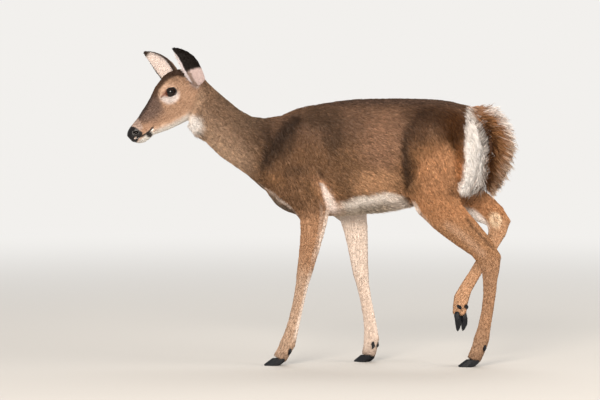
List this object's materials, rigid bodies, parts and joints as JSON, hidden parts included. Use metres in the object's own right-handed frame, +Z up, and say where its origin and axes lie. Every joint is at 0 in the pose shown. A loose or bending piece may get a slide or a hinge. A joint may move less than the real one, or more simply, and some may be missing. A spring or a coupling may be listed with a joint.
{
  "type": "white-tailed deer model",
  "caption": "Life-size still model of an antlerless white-tailed deer walking with a hind foot lifted, with a grey-brown coat, white belly and rump and dark hooves.",
  "frame": {"origin": "middle of the bounding box on the ground under the deer", "axes": "+Z up; the deer faces -X, its left side is -Y and its right side +Y"},
  "size_m": [1.2872, 0.264, 1.0623],
  "materials": {
    "coat_brown": "short dense grey-brown deer coat, darker along the back, with fine ticking",
    "coat_leg": "short flat warm tan coat of the legs",
    "coat_white": "soft white coat of the belly and the lower jaw",
    "nose_pad": "bare moist black nose pad",
    "eye": "wet dark brown eye, almost black",
    "hoof": "blue-black hoof horn with a dull sheen"
  },
  "bodies": {
    "root": {"head": "coat_brown", "lower_jaw": "coat_white", "nose": "nose_pad", "ear_left": "coat_brown", "ear_right": "coat_brown", "eye_left": "eye", "eye_right": "eye", "neck": "coat_brown", "chest": "coat_brown", "belly": "coat_white", "rump": "coat_brown", "tail": "coat_brown", "shoulder_left": "coat_brown", "forearm_left": "coat_leg", "fore_cannon_left": "coat_leg", "fore_pastern_left": "coat_leg", "thigh_left": "coat_brown", "gaskin_left": "coat_leg", "hind_cannon_left": "coat_leg", "hind_pastern_left": "coat_leg", "shoulder_right": "coat_brown", "forearm_right": "coat_leg", "fore_cannon_right": "coat_leg", "fore_pastern_right": "coat_leg", "thigh_right": "coat_brown", "gaskin_right": "coat_leg", "hind_cannon_right": "coat_leg", "hind_pastern_right": "coat_leg", "hoof_fore_left_outer": "hoof", "dewclaw_fore_left_outer": "hoof", "hoof_fore_left_inner": "hoof", "dewclaw_fore_left_inner": "hoof", "hoof_fore_right_outer": "hoof", "dewclaw_fore_right_outer": "hoof", "hoof_fore_right_inner": "hoof", "dewclaw_fore_right_inner": "hoof", "hoof_hind_left_outer": "hoof", "dewclaw_hind_left_outer": "hoof", "hoof_hind_left_inner": "hoof", "dewclaw_hind_left_inner": "hoof", "hoof_hind_right_outer": "hoof", "dewclaw_hind_right_outer": "hoof", "hoof_hind_right_inner": "hoof", "dewclaw_hind_right_inner": "hoof"}
  },
  "joints": []
}
